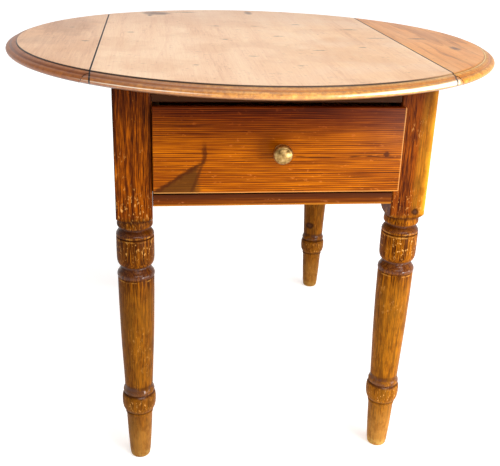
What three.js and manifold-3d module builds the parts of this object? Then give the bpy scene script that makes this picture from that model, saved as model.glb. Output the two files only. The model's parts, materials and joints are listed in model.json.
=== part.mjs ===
// A round-topped drop leaf table in pine: a centre board on a four-legged frame with one drawer, and two leaves on
// rule joints, each held up by a swinging bracket. Millimetres, +Z up, +X right, -Y towards the drawer. The origin
// is on the floor under the middle of the table. The leaves are up, and the brackets are folded along the sides.
import * as THREE from 'three';
import { mergeVertices } from 'three/addons/utils/BufferGeometryUtils.js';
import Module from 'manifold-3d';

const wasm = await Module();
wasm.setup();

const GAP = 0.3; // between pieces that touch

// Top
const TOP_Z = 745;
const TOP_THICKNESS = 20;
const TOP_RADIUS = 485;
const UNDERSIDE = TOP_Z - TOP_THICKNESS;
const UNDER_TOP = UNDERSIDE - GAP;
const EDGE_WIDTH = 21;
const EDGE_STEP = 2;
const UNDER_ROUND = 5;
const NOSE_HEIGHT = 9;

// Rule joint between the centre board and each leaf
const HINGE_X = 302;
const HINGE_Z = 725;
const RULE_RADIUS = 16;
const COVE_RADIUS = 17;
const SEAM = 1;

// Legs
const LEG_X = 237;
const LEG_Y = 360;
const LEG_SIDE = 62;
const BLOCK_BOTTOM = 496;
const SHOULDER = 13;
const LEG_SEGMENTS = 20;
const INNER_X = LEG_X - LEG_SIDE / 2;
const INNER_Y = LEG_Y - LEG_SIDE / 2;
const OUTER_X = LEG_X + LEG_SIDE / 2;
const OUTER_Y = LEG_Y + LEG_SIDE / 2;

// Rails and aprons
const APRON_BOTTOM = 525;
const APRON_THICKNESS = 22;
const APRON_OUTER_X = 246;
const APRON_INNER_X = APRON_OUTER_X - APRON_THICKNESS;
const LOWER_RAIL_TOP = 545;
const UPPER_RAIL_BOTTOM = 703;
const BACK_INSET = 3;

// Swinging brackets
const BRACKET_THICKNESS = 21.4;
const BRACKET_BOTTOM = 548;
const BRACKET_LENGTH = 185;
const PIVOT_X = 257;
const PIVOT_Y = 40;
const BARREL = BRACKET_THICKNESS / 2;
const PIN_RADIUS = 2.5;
const FINGERS = 5;

// Drawer
const FRONT_SHIFT = 4;
const FRONT_HALF = 209;
const FRONT_BOTTOM = 551;
const FRONT_TOP = 697;
const FRONT_PROUD = 10;
const DRAWER_HALF = 204;
const DRAWER_FLOOR = 548;
const DRAWER_TOP = 687;
const DRAWER_FRONT_BACK = -379;
const DRAWER_BACK_Y = 171;
const DRAWER_BOARD = 12;
const BOTTOM_Z = 555;
const BOTTOM_THICKNESS = 7;
const KNOB_X = 5;
const KNOB_Z = 625;
const BOLT_RADIUS = 2;

// Hinges under the rule joints
const HINGE_Y = 250;
const HINGE_HALF = 18;
const PLATE_THICKNESS = 2;
const KNUCKLE_RADIUS = 3.2;
const HINGE_PIN_RADIUS = 1.2;

const finishes = {
  top: new THREE.MeshStandardMaterial({ color: 0xd79a5f, roughness: 0.3 }),
  legs: new THREE.MeshStandardMaterial({ color: 0xa0581c, roughness: 0.35 }),
  front: new THREE.MeshStandardMaterial({ color: 0xb0661f, roughness: 0.4 }),
  bracket: new THREE.MeshStandardMaterial({ color: 0x5a3214, roughness: 0.5 }),
  inner: new THREE.MeshStandardMaterial({ color: 0xc79a62, roughness: 0.8 }),
  brass: new THREE.MeshStandardMaterial({ color: 0x96805a, roughness: 0.35, metalness: 1 }),
  iron: new THREE.MeshStandardMaterial({ color: 0x4a4642, roughness: 0.6, metalness: 1 }),
};

const group = new THREE.Group();

function piece(parent, name, geometry, finish) {
  const mesh = new THREE.Mesh(geometry, finish);
  mesh.name = name;
  parent.add(mesh);
  return mesh;
}

function solid(geometry) {
  const bare = geometry.clone();
  bare.deleteAttribute('normal');
  bare.deleteAttribute('uv');
  const merged = mergeVertices(bare, 1e-4);
  return new wasm.Manifold(new wasm.Mesh({
    numProp: 3,
    vertProperties: new Float32Array(merged.attributes.position.array),
    triVerts: new Uint32Array(merged.index.array),
  }));
}

function geometryOf(manifold) {
  const mesh = manifold.getMesh();
  const geometry = new THREE.BufferGeometry();
  geometry.setAttribute('position', new THREE.BufferAttribute(new Float32Array(mesh.vertProperties), 3));
  geometry.setIndex(new THREE.BufferAttribute(new Uint32Array(mesh.triVerts), 1));
  geometry.computeVertexNormals();
  return geometry;
}

function box(x0, x1, y0, y1, z0, z1) {
  const geometry = new THREE.BoxGeometry(Math.abs(x1 - x0), Math.abs(y1 - y0), Math.abs(z1 - z0));
  return geometry.translate((x0 + x1) / 2, (y0 + y1) / 2, (z0 + z1) / 2);
}

// A turned solid about the Z axis, from [radius, height] pairs that run from the axis up and back to it.
function turned(profile, segments) {
  const geometry = new THREE.LatheGeometry(profile.map(([r, z]) => new THREE.Vector2(r, z)), segments);
  return geometry.rotateX(Math.PI / 2);
}

// A section drawn in X and Z, extruded along Y from y0 to y1.
function alongY(shape, y0, y1, curveSegments = 6) {
  const geometry = new THREE.ExtrudeGeometry(shape, { depth: y1 - y0, bevelEnabled: false, curveSegments });
  return geometry.rotateX(Math.PI / 2).translate(0, y1, 0);
}

function rodZ(radius, x, y, z0, z1, segments = 16) {
  const geometry = new THREE.CylinderGeometry(radius, radius, z1 - z0, segments);
  return geometry.rotateX(Math.PI / 2).translate(x, y, (z0 + z1) / 2);
}

function rodY(radius, x, z, y0, y1, segments = 12) {
  const geometry = new THREE.CylinderGeometry(radius, radius, y1 - y0, segments);
  return geometry.translate(x, (y0 + y1) / 2, z);
}

// ---- Top: one disc with a moulded edge, cut into three boards by the rule joints ----

function discProfile() {
  const field = TOP_RADIUS - EDGE_WIDTH;
  const profile = [[0, UNDERSIDE], [TOP_RADIUS - 2 * UNDER_ROUND, UNDERSIDE]];
  profile.push([TOP_RADIUS - UNDER_ROUND / 3, UNDERSIDE + UNDER_ROUND]);
  const steps = 5;
  const ledge = TOP_Z - EDGE_STEP;
  const nose = UNDERSIDE + NOSE_HEIGHT;
  const reach = EDGE_WIDTH - UNDER_ROUND;
  for (let i = 0; i <= steps; i += 1) {
    const angle = (i / steps) * (Math.PI / 2);
    profile.push([TOP_RADIUS - reach + reach * Math.cos(angle), nose + (ledge - nose) * Math.sin(angle)]);
  }
  profile.push([field, ledge], [field, TOP_Z], [0, TOP_Z]);
  return profile;
}

function centreSection() {
  const shape = new THREE.Shape();
  shape.moveTo(-HINGE_X, TOP_Z + 1);
  shape.lineTo(-HINGE_X, HINGE_Z + RULE_RADIUS);
  shape.absarc(-HINGE_X, HINGE_Z, RULE_RADIUS, Math.PI / 2, Math.PI, false);
  shape.lineTo(-HINGE_X - RULE_RADIUS, UNDERSIDE - 1);
  shape.lineTo(HINGE_X + RULE_RADIUS, UNDERSIDE - 1);
  shape.lineTo(HINGE_X + RULE_RADIUS, HINGE_Z);
  shape.absarc(HINGE_X, HINGE_Z, RULE_RADIUS, 0, Math.PI / 2, false);
  shape.lineTo(HINGE_X, TOP_Z + 1);
  return shape;
}

function leafSection() {
  const shape = new THREE.Shape();
  const start = Math.acos(SEAM / COVE_RADIUS);
  shape.moveTo(TOP_RADIUS + 5, TOP_Z + 1);
  shape.lineTo(HINGE_X + SEAM, TOP_Z + 1);
  shape.absarc(HINGE_X, HINGE_Z, COVE_RADIUS, start, 0, true);
  shape.lineTo(HINGE_X + COVE_RADIUS, UNDERSIDE - 1);
  shape.lineTo(TOP_RADIUS + 5, UNDERSIDE - 1);
  return shape;
}

const disc = solid(turned(discProfile(), 96));
let centre = disc.intersect(solid(alongY(centreSection(), -TOP_RADIUS - 5, TOP_RADIUS + 5)));
const SLOT_HALF = HINGE_HALF + 1;
const SLOT_INNER = HINGE_X - 9;
const SLOT_OUTER = HINGE_X + 7;
const SLOT_TOP = HINGE_Z + 5;
for (const side of [-1, 1]) {
  for (const y of [-HINGE_Y, HINGE_Y]) {
    const slot = box(side * SLOT_INNER, side * SLOT_OUTER, y - SLOT_HALF, y + SLOT_HALF, UNDERSIDE - 1, SLOT_TOP);
    centre = centre.subtract(solid(slot));
  }
}
piece(group, 'centre_board', geometryOf(centre), finishes.top);

const rightLeaf = disc.intersect(solid(alongY(leafSection(), -TOP_RADIUS - 5, TOP_RADIUS + 5)));
piece(group, 'right_leaf', geometryOf(rightLeaf), finishes.top);
piece(group, 'left_leaf', geometryOf(rightLeaf).rotateZ(Math.PI), finishes.top);

// ---- Legs: a square block over a turning ----

const LEG_PROFILE = [
  [0, 0], [16.5, 0], [19.7, 8], [22.3, 52], [24, 96], [25, 99], [25, 103], [26.4, 107], [31.2, 118], [31, 140.5],
  [27, 143.5], [29, 149.5], [26, 155.5], [26, 162], [29.3, 246], [31.5, 329], [32.2, 383.5], [33, 387.5],
  [33, 393], [27, 402.5], [25, 405.5], [27, 408.5], [32.5, 420.5], [33, 459.5], [31.5, 462.5], [33, 466],
  [28, 474], [25.5, 476.5], [30, 481], [31, 487], [30, BLOCK_BOTTOM + SHOULDER], [0, BLOCK_BOTTOM + SHOULDER],
];

function legGeometry() {
  const half = LEG_SIDE / 2;
  const corner = half * Math.SQRT2 + 1;
  const block = solid(box(-half, half, -half, half, BLOCK_BOTTOM, UNDER_TOP));
  const shoulder = [[0, BLOCK_BOTTOM]];
  const steps = 3;
  for (let i = 0; i <= steps; i += 1) {
    const angle = (i / steps) * (Math.PI / 2);
    shoulder.push([33 + (corner - 33) * Math.sin(angle), BLOCK_BOTTOM + SHOULDER * (1 - Math.cos(angle))]);
  }
  shoulder.push([corner, UNDER_TOP + 1], [0, UNDER_TOP + 1]);
  const rounded = block.intersect(solid(turned(shoulder, LEG_SEGMENTS)));
  return geometryOf(rounded.add(solid(turned(LEG_PROFILE, LEG_SEGMENTS))));
}

const legShape = legGeometry();
for (const [end, y] of [['front', -LEG_Y], ['back', LEG_Y]]) {
  for (const [side, x] of [['left', -LEG_X], ['right', LEG_X]]) {
    const leg = piece(group, `${end}_${side}_leg`, legShape.clone(), finishes.legs);
    leg.position.set(x, y, 0);
  }
}

// ---- Rails and aprons between the legs ----

const railEnd = INNER_X - GAP;
const sideEnd = INNER_Y - GAP;
piece(group, 'lower_drawer_rail', box(-railEnd, railEnd, -OUTER_Y, -INNER_Y, APRON_BOTTOM, LOWER_RAIL_TOP),
  finishes.front);
piece(group, 'upper_drawer_rail', box(-railEnd, railEnd, -OUTER_Y, -INNER_Y, UPPER_RAIL_BOTTOM, UNDER_TOP),
  finishes.front);
const backFace = OUTER_Y - BACK_INSET;
piece(group, 'back_apron', box(-railEnd, railEnd, backFace - APRON_THICKNESS, backFace, APRON_BOTTOM, UNDER_TOP),
  finishes.legs);

const RUNNER_INNER = 192;
const RUNNER_BOTTOM = 530;
const RUNNER_TOP = DRAWER_FLOOR - 0.6;
const GUIDE_TOP = 570;
const KICKER_BOTTOM = DRAWER_TOP + 2;
const BLOCK_LENGTH = 50;
const BLOCK_Y = 205;
const STOP_INNER = 150;
const STOP_OUTER = 172;
const STOP_LENGTH = 13.5;
const STOP_START = DRAWER_FRONT_BACK + 0.5;
for (const [side, s] of [['left', -1], ['right', 1]]) {
  piece(group, `${side}_side_apron`,
    box(s * APRON_INNER_X, s * APRON_OUTER_X, -sideEnd, sideEnd, APRON_BOTTOM, UNDER_TOP), finishes.legs);
  const fixing = s * (APRON_INNER_X - GAP);
  piece(group, `${side}_drawer_runner`, box(s * RUNNER_INNER, fixing, -sideEnd, sideEnd, RUNNER_BOTTOM, RUNNER_TOP),
    finishes.inner);
  piece(group, `${side}_drawer_guide`,
    box(s * (DRAWER_HALF + 1.5), fixing, -sideEnd, sideEnd, RUNNER_TOP + GAP, GUIDE_TOP), finishes.inner);
  piece(group, `${side}_drawer_kicker`,
    box(s * RUNNER_INNER, fixing, -sideEnd, sideEnd, KICKER_BOTTOM, UPPER_RAIL_BOTTOM - 1), finishes.inner);
  piece(group, `${side}_drawer_stop`,
    box(s * STOP_INNER, s * STOP_OUTER, STOP_START, STOP_START + STOP_LENGTH, LOWER_RAIL_TOP + GAP, BOTTOM_Z - 3),
    finishes.inner);
  for (const [end, y] of [['front', -BLOCK_Y], ['back', BLOCK_Y]]) {
    piece(group, `${end}_${side}_top_block`,
      box(s * (DRAWER_HALF - 2), fixing, y - BLOCK_LENGTH / 2, y + BLOCK_LENGTH / 2,
        UPPER_RAIL_BOTTOM - 1 + GAP, UNDER_TOP), finishes.inner);
  }
}

// ---- Swinging brackets: drawn with the pivot at the origin, the fixed rail along +Y, the bracket along -Y ----

const fingerHeight = (UNDER_TOP - BRACKET_BOTTOM) / FINGERS;
const FINGER_GAP = 0.4;

function fingers(body, kept, neckY) {
  let result = body;
  for (let i = 0; i < FINGERS; i += 1) {
    if (i % 2 !== kept) continue;
    const z0 = BRACKET_BOTTOM + i * fingerHeight + (i > 0 ? FINGER_GAP / 2 : 0);
    const z1 = BRACKET_BOTTOM + (i + 1) * fingerHeight - (i < FINGERS - 1 ? FINGER_GAP / 2 : 0);
    result = result.add(solid(rodZ(BARREL, 0, 0, z0, z1)));
    result = result.add(solid(box(0, BARREL, Math.min(0, neckY), Math.max(0, neckY), z0, z1)));
  }
  return result.subtract(solid(rodZ(PIN_RADIUS + GAP, 0, 0, BRACKET_BOTTOM - 1, UNDER_TOP + 1, 12)));
}

// Outline in X (distance from the pivot) and Z: an ovolo at the tip, a step, and a hollow back to the bottom.
function bracketSection() {
  const shape = new THREE.Shape();
  const stepAt = 120;
  const ovoloDrop = 101;
  const hollowTop = 607;
  const hollowEnd = 45;
  shape.moveTo(BARREL + GAP, BRACKET_BOTTOM);
  shape.lineTo(hollowEnd, BRACKET_BOTTOM);
  shape.absellipse(stepAt, BRACKET_BOTTOM, stepAt - hollowEnd, hollowTop - BRACKET_BOTTOM,
    Math.PI, Math.PI / 2, true, 0);
  shape.lineTo(stepAt, UNDER_TOP - ovoloDrop);
  shape.absellipse(stepAt, UNDER_TOP, BRACKET_LENGTH - stepAt, ovoloDrop, -Math.PI / 2, 0, false, 0);
  shape.lineTo(BARREL + GAP, UNDER_TOP);
  return shape;
}

const bracketBody = alongY(bracketSection(), -BARREL, BARREL, 8).rotateZ(-Math.PI / 2);
const bracketShape = geometryOf(fingers(solid(bracketBody), 1, -BARREL - 1));
const flyRailLength = sideEnd - PIVOT_Y;
const flyRailBody = box(-BARREL, BARREL, BARREL + GAP, flyRailLength, BRACKET_BOTTOM, UNDER_TOP);
const flyRailShape = geometryOf(fingers(solid(flyRailBody), 0, BARREL + 1));
const pinShape = rodZ(PIN_RADIUS, 0, 0, BRACKET_BOTTOM + 2, UNDER_TOP - 1, 12);

for (const [side, turn] of [['left', 0], ['right', Math.PI]]) {
  const swing = new THREE.Group();
  swing.rotation.z = turn;
  const pivot = new THREE.Group();
  pivot.position.set(-PIVOT_X, PIVOT_Y, 0);
  swing.add(pivot);
  group.add(swing);
  piece(pivot, `${side}_fly_rail`, flyRailShape.clone(), finishes.bracket);
  piece(pivot, `${side}_bracket`, bracketShape.clone(), finishes.bracket);
  piece(pivot, `${side}_bracket_pin`, pinShape.clone(), finishes.iron);
}

// ---- Drawer ----

const lip = box(FRONT_SHIFT - FRONT_HALF, FRONT_SHIFT + FRONT_HALF, -OUTER_Y - FRONT_PROUD, -OUTER_Y - 0.5,
  FRONT_BOTTOM, FRONT_TOP);
const inset = box(-DRAWER_HALF, DRAWER_HALF, -OUTER_Y - 1, DRAWER_FRONT_BACK, DRAWER_FLOOR, DRAWER_TOP + 8);
const boltHole = rodY(BOLT_RADIUS + GAP, KNOB_X, KNOB_Z, -OUTER_Y - FRONT_PROUD - 1, DRAWER_FRONT_BACK + 1);
piece(group, 'drawer_front', geometryOf(solid(lip).add(solid(inset)).subtract(solid(boltHole))), finishes.front);

const boxFront = DRAWER_FRONT_BACK + GAP;
for (const [side, s] of [['left', -1], ['right', 1]]) {
  piece(group, `drawer_${side}_side`,
    box(s * (DRAWER_HALF - DRAWER_BOARD), s * DRAWER_HALF, boxFront, DRAWER_BACK_Y, DRAWER_FLOOR, DRAWER_TOP),
    finishes.inner);
}
const between = DRAWER_HALF - DRAWER_BOARD - GAP;
piece(group, 'drawer_back',
  box(-between, between, DRAWER_BACK_Y - DRAWER_BOARD, DRAWER_BACK_Y, BOTTOM_Z + BOTTOM_THICKNESS + GAP,
    DRAWER_TOP - 8), finishes.inner);
piece(group, 'drawer_bottom',
  box(-between, between, boxFront, DRAWER_BACK_Y, BOTTOM_Z, BOTTOM_Z + BOTTOM_THICKNESS), finishes.inner);

// Knob: drawn along +Z from its seat, with a blind bore for the bolt
const BORE_DEPTH = 14;
const KNOB_PROFILE = [
  [BOLT_RADIUS + GAP, 0], [9, 0], [9, 2], [6.5, 4], [6, 12], [8, 15], [14, 19], [16.5, 24], [16, 29], [13, 33],
  [7, 35], [0, 35.5], [0, BORE_DEPTH], [BOLT_RADIUS + GAP, BORE_DEPTH], [BOLT_RADIUS + GAP, 0],
];
const knob = piece(group, 'knob', turned(KNOB_PROFILE, 20), finishes.brass);
knob.position.set(KNOB_X, -OUTER_Y - FRONT_PROUD - GAP, KNOB_Z);
knob.rotation.x = Math.PI / 2;

const boltEnd = -OUTER_Y - FRONT_PROUD - BORE_DEPTH + 2;
const boltHead = rodY(5, KNOB_X, KNOB_Z, boxFront, boxFront + 3);
const boltShank = rodY(BOLT_RADIUS, KNOB_X, KNOB_Z, boltEnd, boxFront + 1);
piece(group, 'knob_bolt', geometryOf(solid(boltHead).add(solid(boltShank))), finishes.iron);

// ---- Hinges: drawn with the axis along Y at the origin, the leaf towards +X ----

const PLATE_TOP = UNDER_TOP - HINGE_Z;
const PLATE_BOTTOM = PLATE_TOP - PLATE_THICKNESS;
const FINGER_HALF = 6;
const FIXED_REACH = 32;
const LEAF_REACH = 58;
const SLOT_EDGE = 7;
const LEAF_EDGE = 10;
const WEB_BOTTOM = PLATE_BOTTOM;
const WEB_TOP = -1;

function knuckle(y0, y1) {
  return solid(rodY(KNUCKLE_RADIUS, 0, 0, y0, y1));
}

function boredOut(plate) {
  return geometryOf(plate.subtract(solid(rodY(HINGE_PIN_RADIUS + GAP, 0, 0, -HINGE_HALF - 1, HINGE_HALF + 1, 8))));
}

function fixedPlate() {
  let plate = solid(box(-FIXED_REACH, -SLOT_EDGE, -HINGE_HALF, HINGE_HALF, PLATE_BOTTOM, PLATE_TOP));
  for (const s of [-1, 1]) {
    const near = s * (FINGER_HALF + GAP);
    const far = s * HINGE_HALF;
    plate = plate.add(solid(box(-SLOT_EDGE - 0.5, 1, near, far, PLATE_BOTTOM, PLATE_TOP)));
    plate = plate.add(solid(box(-5, 1, near, far, WEB_BOTTOM, WEB_TOP)));
    plate = plate.add(knuckle(Math.min(near, far), Math.max(near, far)));
  }
  return boredOut(plate);
}

function leafPlate() {
  let plate = solid(box(LEAF_EDGE, LEAF_REACH, -HINGE_HALF, HINGE_HALF, PLATE_BOTTOM, PLATE_TOP));
  plate = plate.add(solid(box(-1, LEAF_EDGE + 1, -FINGER_HALF, FINGER_HALF, PLATE_BOTTOM, PLATE_TOP)));
  plate = plate.add(solid(box(-1, 5, -FINGER_HALF, FINGER_HALF, WEB_BOTTOM, WEB_TOP)));
  return boredOut(plate.add(knuckle(-FINGER_HALF, FINGER_HALF)));
}

const fixedPlateShape = fixedPlate();
const leafPlateShape = leafPlate();
const hingePinShape = rodY(HINGE_PIN_RADIUS, 0, 0, -HINGE_HALF, HINGE_HALF, 8);
for (const [side, s] of [['left', -1], ['right', 1]]) {
  for (const [end, e] of [['front', -1], ['back', 1]]) {
    const hinge = new THREE.Group();
    hinge.position.set(s * HINGE_X, e * HINGE_Y, HINGE_Z);
    hinge.rotation.z = s > 0 ? 0 : Math.PI;
    group.add(hinge);
    piece(hinge, `${end}_${side}_hinge_plate`, fixedPlateShape.clone(), finishes.iron);
    piece(hinge, `${end}_${side}_leaf_plate`, leafPlateShape.clone(), finishes.iron);
    piece(hinge, `${end}_${side}_hinge_pin`, hingePinShape.clone(), finishes.iron);
  }
}

export default group;
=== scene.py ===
"""A round drop leaf table in old waxed pine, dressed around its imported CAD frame.

Metres, +Z up, -Y the drawer side.
"""
import json
import math

import bmesh
import bpy
from mathutils import Matrix, Vector, noise


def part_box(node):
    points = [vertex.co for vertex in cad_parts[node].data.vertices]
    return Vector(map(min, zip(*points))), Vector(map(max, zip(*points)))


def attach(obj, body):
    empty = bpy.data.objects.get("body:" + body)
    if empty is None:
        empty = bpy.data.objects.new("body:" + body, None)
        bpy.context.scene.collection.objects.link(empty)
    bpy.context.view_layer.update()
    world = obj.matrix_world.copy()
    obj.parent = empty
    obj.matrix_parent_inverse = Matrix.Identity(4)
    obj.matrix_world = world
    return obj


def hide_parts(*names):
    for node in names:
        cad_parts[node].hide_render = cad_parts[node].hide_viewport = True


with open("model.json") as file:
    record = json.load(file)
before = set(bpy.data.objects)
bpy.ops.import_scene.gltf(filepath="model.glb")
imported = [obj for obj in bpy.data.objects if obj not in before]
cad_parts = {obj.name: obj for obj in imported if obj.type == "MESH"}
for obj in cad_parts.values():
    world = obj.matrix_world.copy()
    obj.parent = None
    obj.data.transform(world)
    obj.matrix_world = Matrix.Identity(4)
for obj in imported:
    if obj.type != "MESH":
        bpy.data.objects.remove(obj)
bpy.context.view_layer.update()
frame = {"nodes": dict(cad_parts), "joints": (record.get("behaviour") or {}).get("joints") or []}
NODES = frame["nodes"]
MM = 0.001

# ---------------------------------------------------------------- sizes read from the frame
top_low, top_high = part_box("centre_board")
TOP_RADIUS = float(top_high[1])
TOP_Z = float(top_high[2])
UNDERSIDE = float(top_low[2])
HINGE_X, _, HINGE_Z = next(j["pos_m"] for j in frame["joints"] if j["name"] == "right_leaf_hinge")
plate_low, plate_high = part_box("back_right_hinge_plate")
HINGE_Y = float(plate_low[1] + plate_high[1]) / 2
front_low, front_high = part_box("drawer_front")
SIDES = (("left", -1), ("right", 1))
ENDS = (("front", -1), ("back", 1))

# ---------------------------------------------------------------- sizes of the finer shapes
SHARP = 35.0                       # degrees; edges sharper than this stay crisp
FIELD_EDGE = TOP_RADIUS - 0.021    # where the flat of the top ends and its moulding begins
QUIRK = 0.0020                     # the small step down at that edge
SEAM = 0.001                       # gap between the centre board and a leaf
RULE_RADIUS = 0.016                # round of the rule joint, on the centre board
COVE_RADIUS = 0.017                # its hollow, on the leaf
EASE = 0.0006                      # rounding of the boards' arrises at the seam
BEYOND = TOP_RADIUS + 0.02         # reaches past the top, for cutting tools
PAST = 0.01                        # how far cutting tools go past the faces they cut
SLOT_HALF = 0.019                  # hinge pockets: half length, then reach to either side of the hinge line
SLOT_IN, SLOT_OUT = 0.009, 0.007
LEG_HALF = 0.031                   # half the width of a leg's square block
ARRIS = 0.003
LIP = 0.0095                       # thickness of the drawer front's lip
LIP_RAISE = 0.003                  # how far the lip's lower edge is above the front's
INSET_HALF = 0.204                 # half the width of the part that fits between the legs

# Heights on a leg above the floor
RING_LOW, RING_TOP = 0.1055, 0.1442    # grooves under and over the lower ring
RING_WAIST = 0.160                     # hollow above them, where the shaft begins
SHAFT_GROOVE = 0.3856                  # groove at the shaft's top
LOW_NECK, HIGH_NECK = 0.4055, 0.4765   # deep hollows under and over the barrel
BARREL_GROOVE = 0.4625                 # groove near the barrel's top
BLOCK_BOTTOM = 0.496                   # end of the square block


# ---------------------------------------------------------------- mesh helpers
def shade(mesh, sharp):
    """Smooth shading, with crisp edges where faces meet at more than so many degrees."""
    mesh.shade_smooth()
    mesh.set_sharp_from_angle(angle=math.radians(sharp))


def add_mesh(name, verts, faces, sharp=SHARP):
    mesh = bpy.data.meshes.new(name)
    mesh.from_pydata([tuple(v) for v in verts], [], faces)
    return add_object(name, mesh, sharp)


def add_object(name, mesh, sharp=SHARP):
    """A cleaned mesh as an object of the scene."""
    bm = bmesh.new()
    bm.from_mesh(mesh)
    bmesh.ops.remove_doubles(bm, verts=bm.verts, dist=1e-6)
    bmesh.ops.recalc_face_normals(bm, faces=bm.faces)
    bm.to_mesh(mesh)
    bm.free()
    shade(mesh, sharp)
    piece = bpy.data.objects.new(name, mesh)
    bpy.context.scene.collection.objects.link(piece)
    return piece


def apply_modifiers(piece):
    """Turns the piece's modifiers into its own mesh."""
    bpy.context.view_layer.update()
    shaped = piece.evaluated_get(bpy.context.evaluated_depsgraph_get())
    done = bpy.data.meshes.new_from_object(shaped)
    piece.modifiers.clear()
    old = piece.data
    piece.data = done
    bpy.data.meshes.remove(old)
    shade(done, SHARP)


def lathe(name, profile, segments, place=Matrix.Identity(4)):
    """A turned solid about Z, from (radius, height) points that start and end on the axis."""
    verts, faces, rings = [], [], []
    for radius, height in profile:
        if radius < 1e-7:
            rings.append([len(verts)])
            verts.append(place @ Vector((0, 0, height)))
            continue
        ring = []
        for k in range(segments):
            turn = 2 * math.pi * k / segments
            ring.append(len(verts))
            verts.append(place @ Vector((radius * math.cos(turn), radius * math.sin(turn), height)))
        rings.append(ring)
    for lower, upper in zip(rings, rings[1:]):
        for k in range(segments):
            n = (k + 1) % segments
            quad = (lower[k % len(lower)], lower[n % len(lower)],
                    upper[n % len(upper)], upper[k % len(upper)])
            face = list(dict.fromkeys(quad))
            if len(face) > 2:
                faces.append(face)
    return add_mesh(name, verts, faces)


def section_tool(outline):
    """A solid with this outline of (x, z) points, as long as the whole top along Y."""
    count = len(outline)
    verts = [(x, y, z) for y in (-BEYOND, BEYOND) for x, z in outline]
    faces = [list(range(count)), list(range(2 * count - 1, count - 1, -1))]
    faces += [[i, (i + 1) % count, count + (i + 1) % count, count + i] for i in range(count)]
    return add_mesh("section", verts, faces)


def arc(cx, cz, rx, rz, start, end, steps):
    """Points on an ellipse from start to end, in degrees."""
    turns = [math.radians(start + (end - start) * i / steps) for i in range(steps + 1)]
    return [(cx + rx * math.cos(t), cz + rz * math.sin(t)) for t in turns]


def block(name, low, high, bevel, segments):
    """A board with rounded edges."""
    bm = bmesh.new()
    bmesh.ops.create_cube(bm, size=1.0)
    centre = (Vector(low) + Vector(high)) / 2
    size = Vector(high) - Vector(low)
    for v in bm.verts:
        v.co = Vector(c * s for c, s in zip(v.co, size)) + centre
    bmesh.ops.bevel(bm, geom=list(bm.edges), offset=bevel, segments=segments, profile=0.5, affect="EDGES")
    mesh = bpy.data.meshes.new(name)
    bm.to_mesh(mesh)
    bm.free()
    return add_object(name, mesh)


def join(name, pieces):
    """Several pieces as one mesh."""
    bm = bmesh.new()
    for piece in pieces:
        bm.from_mesh(piece.data)
        bpy.data.objects.remove(piece)
    mesh = bpy.data.meshes.new(name)
    bm.to_mesh(mesh)
    bm.free()
    return add_object(name, mesh)


def cut(piece, tool, operation):
    """Cuts the piece by a tool, or keeps only what lies inside it, and removes the tool."""
    modifier = piece.modifiers.new("cut", "BOOLEAN")
    modifier.operation = operation
    modifier.solver = "EXACT"
    modifier.object = tool
    apply_modifiers(piece)
    bpy.data.objects.remove(tool)


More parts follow.
